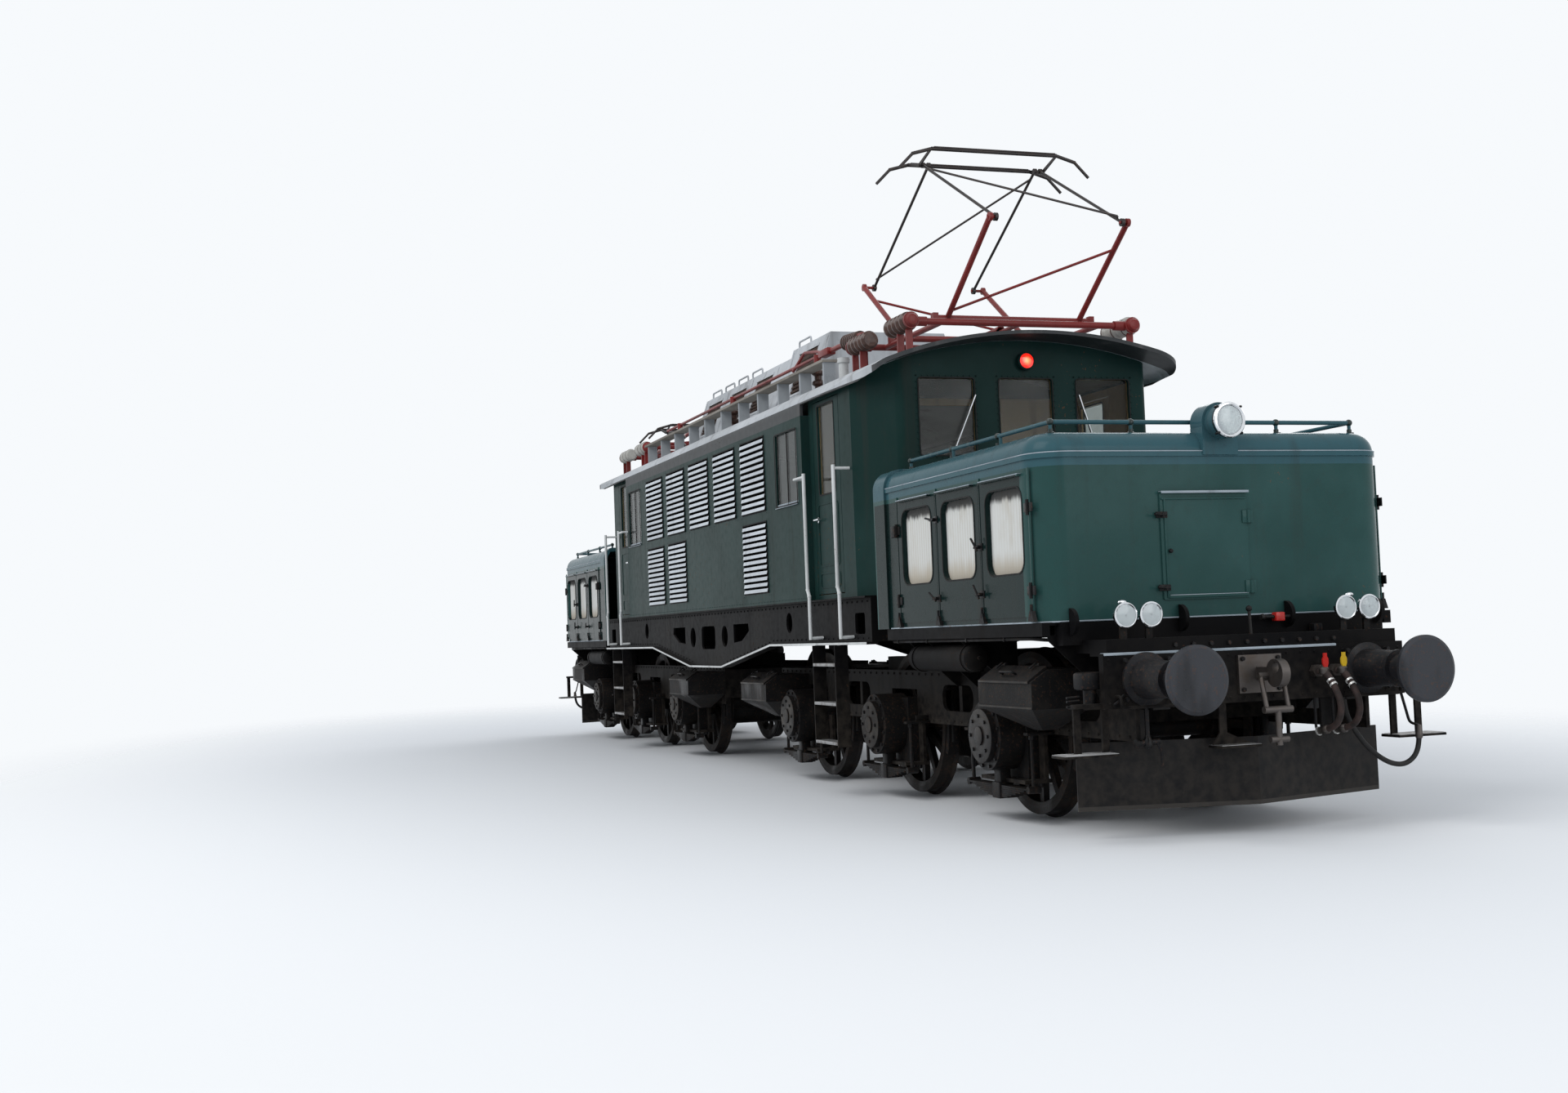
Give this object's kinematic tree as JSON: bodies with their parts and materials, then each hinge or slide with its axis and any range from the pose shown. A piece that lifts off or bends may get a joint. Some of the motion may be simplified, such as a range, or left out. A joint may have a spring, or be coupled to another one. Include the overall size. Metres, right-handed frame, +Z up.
{
  "type": "electric locomotive",
  "caption": "Hooded electric locomotive on two swivelling three-axle bogies, with raised and folded pantographs, hinged cab doors, louvred sides, buffers and snowploughs.",
  "frame": {"origin": "centre of the plan, on the floor plane that the wheel flanges touch", "axes": "+X towards the front end that the picture shows, +Y to the left, +Z up"},
  "size_m": [18.6, 3.15, 5.7674],
  "materials": {
    "black_paint": "satin black frame paint, dusty",
    "dark_steel": "dark grey oily steel with brake dust",
    "glass": "clear window glass",
    "green_paint": "gloss green body paint, weathered",
    "head_steel": "dull bare steel",
    "lamp_metal": "black lamp housing",
    "louvre_paint": "pale grey paint",
    "red_paint": "red paint",
    "roof_silver": "silver-white roof paint, dirty",
    "screen_cloth": "pale pleated screen",
    "wheel_steel": "dark wheel steel with a worn tread",
    "white_paint": "white paint"
  },
  "bodies": {
    "body": {"bridge_frame": "black_paint", "cab_front": "green_paint", "cab_rear": "green_paint", "door_handrails": "white_paint", "ladders": "black_paint", "louvres": "louvre_paint", "machine_room_sides": "green_paint", "pantograph_bases": "red_paint", "roof": "roof_silver", "roof_conductors": "red_paint", "roof_monitors": "roof_silver", "roof_walkways": "black_paint", "transformer": "dark_steel", "window_glass": "glass"},
    "bogie_front": {"bogie_frame_front": "black_paint", "axle_boxes_front": "dark_steel", "sandboxes_front": "dark_steel", "traction_motors_front": "dark_steel", "hood_front": "green_paint", "hood_screens_front": "screen_cloth", "buffers_front": "black_paint", "coupler_front": "black_paint", "snowplough_front": "black_paint", "lamps_front": "lamp_metal"},
    "bogie_rear": {"bogie_frame_rear": "black_paint", "axle_boxes_rear": "dark_steel", "sandboxes_rear": "dark_steel", "traction_motors_rear": "dark_steel", "hood_rear": "green_paint", "hood_screens_rear": "screen_cloth", "buffers_rear": "black_paint", "coupler_rear": "black_paint", "snowplough_rear": "black_paint", "lamps_rear": "lamp_metal"},
    "wheelset_1": {"wheelset_1": "wheel_steel"},
    "wheelset_2": {"wheelset_2": "wheel_steel"},
    "wheelset_3": {"wheelset_3": "wheel_steel"},
    "wheelset_4": {"wheelset_4": "wheel_steel"},
    "wheelset_5": {"wheelset_5": "wheel_steel"},
    "wheelset_6": {"wheelset_6": "wheel_steel"},
    "cab_door_front_left": {"cab_door_front_left": "green_paint"},
    "cab_door_front_right": {"cab_door_front_right": "green_paint"},
    "cab_door_rear_left": {"cab_door_rear_left": "green_paint"},
    "cab_door_rear_right": {"cab_door_rear_right": "green_paint"},
    "pantograph_front_lower_arms_leading": {"pantograph_front_lower_arms_leading": "red_paint"},
    "pantograph_front_lower_arms_trailing": {"pantograph_front_lower_arms_trailing": "red_paint"},
    "pantograph_front_upper_rods_leading": {"pantograph_front_upper_rods_leading": "head_steel"},
    "pantograph_front_upper_rods_trailing": {"pantograph_front_upper_rods_trailing": "head_steel"},
    "pantograph_front_head": {"pantograph_front_head": "head_steel"},
    "pantograph_rear_lower_arms_leading": {"pantograph_rear_lower_arms_leading": "red_paint"},
    "pantograph_rear_lower_arms_trailing": {"pantograph_rear_lower_arms_trailing": "red_paint"},
    "pantograph_rear_upper_rods_leading": {"pantograph_rear_upper_rods_leading": "head_steel"},
    "pantograph_rear_upper_rods_trailing": {"pantograph_rear_upper_rods_trailing": "head_steel"},
    "pantograph_rear_head": {"pantograph_rear_head": "head_steel"}
  },
  "joints": [
    {"name": "bogie_front_swivel", "type": "hinge", "parent": "body", "child": "bogie_front", "pos_m": [4.55, 0, 1.2], "axis": [0, 0, 1], "range_deg": [-3, 3]},
    {"name": "bogie_rear_swivel", "type": "hinge", "parent": "body", "child": "bogie_rear", "pos_m": [-4.55, 0, 1.2], "axis": [0, 0, 1], "range_deg": [-3, 3]},
    {"name": "wheelset_1_turn", "type": "hinge", "parent": "bogie_front", "child": "wheelset_1", "pos_m": [6.85, 0, 0.653], "axis": [0, 1, 0], "continuous": true},
    {"name": "wheelset_2_turn", "type": "hinge", "parent": "bogie_front", "child": "wheelset_2", "pos_m": [4.55, 0, 0.653], "axis": [0, 1, 0], "continuous": true},
    {"name": "wheelset_3_turn", "type": "hinge", "parent": "bogie_front", "child": "wheelset_3", "pos_m": [2.25, 0, 0.653], "axis": [0, 1, 0], "continuous": true},
    {"name": "wheelset_4_turn", "type": "hinge", "parent": "bogie_rear", "child": "wheelset_4", "pos_m": [-2.25, 0, 0.653], "axis": [0, 1, 0], "continuous": true},
    {"name": "wheelset_5_turn", "type": "hinge", "parent": "bogie_rear", "child": "wheelset_5", "pos_m": [-4.55, 0, 0.653], "axis": [0, 1, 0], "continuous": true},
    {"name": "wheelset_6_turn", "type": "hinge", "parent": "bogie_rear", "child": "wheelset_6", "pos_m": [-6.85, 0, 0.653], "axis": [0, 1, 0], "continuous": true},
    {"name": "cab_door_front_left_hinge", "type": "hinge", "parent": "body", "child": "cab_door_front_left", "pos_m": [4.392, 1.36, 2.7], "axis": [0, 0, 1], "range_deg": [0, 85]},
    {"name": "cab_door_front_right_hinge", "type": "hinge", "parent": "body", "child": "cab_door_front_right", "pos_m": [4.392, -1.36, 2.7], "axis": [0, 0, 1], "range_deg": [-85, 0]},
    {"name": "cab_door_rear_left_hinge", "type": "hinge", "parent": "body", "child": "cab_door_rear_left", "pos_m": [-4.392, 1.36, 2.7], "axis": [0, 0, 1], "range_deg": [-85, 0]},
    {"name": "cab_door_rear_right_hinge", "type": "hinge", "parent": "body", "child": "cab_door_rear_right", "pos_m": [-4.392, -1.36, 2.7], "axis": [0, 0, 1], "range_deg": [0, 85]},
    {"name": "pantograph_front_raise", "type": "hinge", "parent": "body", "child": "pantograph_front_lower_arms_leading", "pos_m": [5.183, 0, 4.178], "axis": [0, 1, 0], "range_deg": [-19.4, 32]},
    {"name": "pantograph_front_trailing_shaft", "type": "hinge", "parent": "body", "child": "pantograph_front_lower_arms_trailing", "pos_m": [4.183, 0, 4.178], "axis": [0, 1, 0], "range_deg": [-32, 19.4]},
    {"name": "pantograph_front_leading_knee", "type": "hinge", "parent": "pantograph_front_lower_arms_leading", "child": "pantograph_front_upper_rods_leading", "pos_m": [6.11969, 0, 4.84861], "axis": [0, 1, 0], "range_deg": [-56.64, 34.34]},
    {"name": "pantograph_front_trailing_knee", "type": "hinge", "parent": "pantograph_front_lower_arms_trailing", "child": "pantograph_front_upper_rods_trailing", "pos_m": [3.24631, 0, 4.84861], "axis": [0, 1, 0], "range_deg": [-34.34, 56.64]},
    {"name": "pantograph_front_head_pivot", "type": "hinge", "parent": "pantograph_front_upper_rods_leading", "child": "pantograph_front_head", "pos_m": [4.68324, 0, 5.6746], "axis": [0, 1, 0], "range_deg": [-14.94, 24.64]},
    {"name": "pantograph_rear_raise", "type": "hinge", "parent": "body", "child": "pantograph_rear_lower_arms_leading", "pos_m": [-4.183, 0, 4.178], "axis": [0, 1, 0], "range_deg": [-51.4, 0]},
    {"name": "pantograph_rear_trailing_shaft", "type": "hinge", "parent": "body", "child": "pantograph_rear_lower_arms_trailing", "pos_m": [-5.183, 0, 4.178], "axis": [0, 1, 0], "range_deg": [0, 51.4]},
    {"name": "pantograph_rear_leading_knee", "type": "hinge", "parent": "pantograph_rear_lower_arms_leading", "child": "pantograph_rear_upper_rods_leading", "pos_m": [-3.03327, 0, 4.25033], "axis": [0, 1, 0], "range_deg": [0, 90.98]},
    {"name": "pantograph_rear_trailing_knee", "type": "hinge", "parent": "pantograph_rear_lower_arms_trailing", "child": "pantograph_rear_upper_rods_trailing", "pos_m": [-6.33273, 0, 4.25033], "axis": [0, 1, 0], "range_deg": [-90.98, 0]},
    {"name": "pantograph_rear_head_pivot", "type": "hinge", "parent": "pantograph_rear_upper_rods_leading", "child": "pantograph_rear_head", "pos_m": [-4.6833, 0, 4.40224], "axis": [0, 1, 0], "range_deg": [-39.58, 0]}
  ],
  "couplings": [
    {"joint": "pantograph_front_trailing_shaft", "follows": "pantograph_front_raise", "ratio": -1},
    {"joint": "pantograph_front_leading_knee", "follows": "pantograph_front_raise", "ratio": -1.77},
    {"joint": "pantograph_front_trailing_knee", "follows": "pantograph_front_raise", "ratio": 1.77},
    {"joint": "pantograph_front_head_pivot", "follows": "pantograph_front_raise", "ratio": 0.77},
    {"joint": "pantograph_rear_trailing_shaft", "follows": "pantograph_rear_raise", "ratio": -1},
    {"joint": "pantograph_rear_leading_knee", "follows": "pantograph_rear_raise", "ratio": -1.77},
    {"joint": "pantograph_rear_trailing_knee", "follows": "pantograph_rear_raise", "ratio": 1.77},
    {"joint": "pantograph_rear_head_pivot", "follows": "pantograph_rear_raise", "ratio": 0.77}
  ]
}
